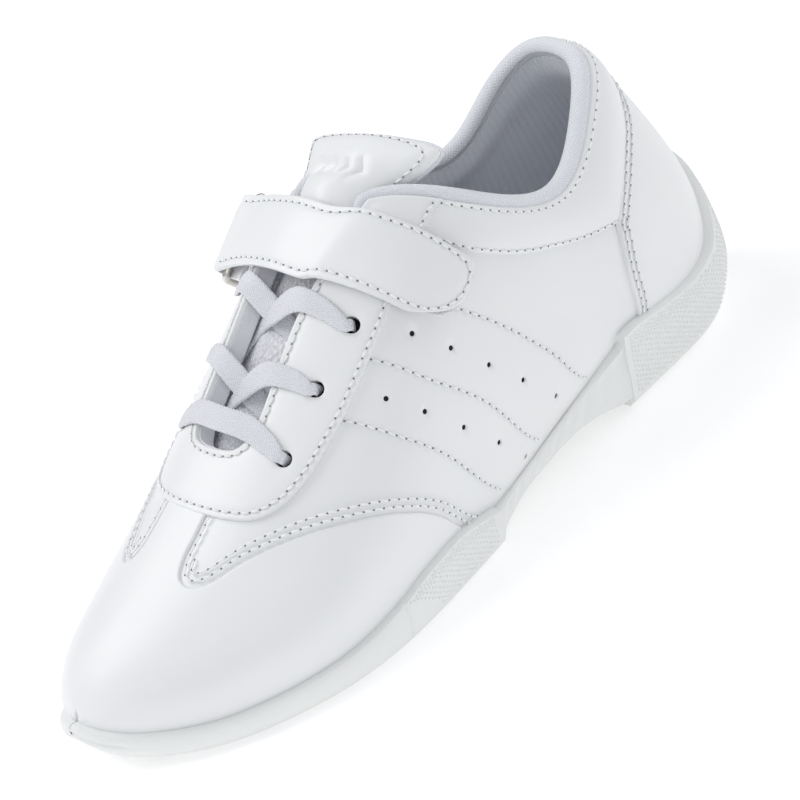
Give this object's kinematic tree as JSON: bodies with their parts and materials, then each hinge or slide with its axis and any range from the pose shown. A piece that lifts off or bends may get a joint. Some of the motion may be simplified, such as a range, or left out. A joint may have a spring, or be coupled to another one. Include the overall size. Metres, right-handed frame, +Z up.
{
  "type": "cheer shoe",
  "caption": "Low white left cheerleading shoe with a split rubber sole, laced front, padded collar and a hook-and-loop strap folded through a metal ring.",
  "frame": {"origin": "on the ground plane, under the middle of the shoe's bounding box", "axes": "+Z up, +Y towards the heel so the toe points along -Y, +X towards the outer side of the left foot"},
  "size_m": [0.092, 0.2596, 0.114],
  "materials": {
    "upper_leather": "smooth semi-gloss coated leather, fine grain",
    "sole_rubber": "matte moulded rubber with a pebbled side wall",
    "knit_textile": "ribbed knit and diamond mesh, matte",
    "hook_loop": "hook-and-loop tape, fuzzy",
    "lace_braid": "flat diagonal braid, matte",
    "foam": "open-cell foam, matte",
    "board": "fibreboard and thermoplastic stiffener, hidden",
    "ring_nickel": "nickel-plated wire, polished",
    "shank_steel": "spring steel, hidden"
  },
  "bodies": {
    "shoe": {"outsole_heel": "sole_rubber", "outsole_forefoot": "sole_rubber", "arch_bridge": "sole_rubber", "midsole": "foam", "shank_plate": "shank_steel", "insole_board": "board", "sockliner": "knit_textile", "toe_vamp": "upper_leather", "quarter_lateral": "upper_leather", "quarter_medial": "upper_leather", "heel_counter_panel": "upper_leather", "collar_panel_lateral": "upper_leather", "collar_panel_medial": "upper_leather", "eyestay": "upper_leather", "toe_puff": "board", "heel_stiffener": "board", "collar_foam": "foam", "interlining_lateral": "foam", "interlining_medial": "foam", "collar_lining": "knit_textile", "vamp_lining": "knit_textile", "collar_binding": "knit_textile", "tongue_mesh": "knit_textile", "loop_patch": "hook_loop", "ring_keeper": "upper_leather", "lace": "lace_braid"},
    "ring": {"ring": "ring_nickel"},
    "strap": {"strap": "upper_leather", "strap_lining": "hook_loop", "strap_loop": "upper_leather"},
    "strap_tip": {"strap_tip": "upper_leather", "hook_patch": "hook_loop"},
    "tongue_top": {"tongue_cover": "upper_leather", "tongue_foam": "foam", "tongue_lining": "knit_textile"}
  },
  "joints": [
    {"name": "ring_swing", "type": "hinge", "parent": "shoe", "child": "ring", "pos_m": [-0.03698, 0.00757, 0.08439], "axis": [-0.0418, -0.7943, -0.6061], "range_deg": [0, 60]},
    {"name": "strap_lift", "type": "hinge", "parent": "ring", "child": "strap", "pos_m": [-0.0345, 0.00029, 0.0936], "axis": [-0.0418, -0.7943, -0.6061], "range_deg": [0, 100]},
    {"name": "strap_tip_peel", "type": "hinge", "parent": "strap", "child": "strap_tip", "pos_m": [0.02347, 0.00681, 0.09881], "axis": [-0.2283, -0.9526, -0.201], "range_deg": [0, 75]},
    {"name": "tongue_top_tilt", "type": "hinge", "parent": "shoe", "child": "tongue_top", "pos_m": [-0.00092, 0.01655, 0.10447], "axis": [1, 0, 0], "range_deg": [-8, 25], "stiffness_Nm_per_rad": 0.15}
  ]
}
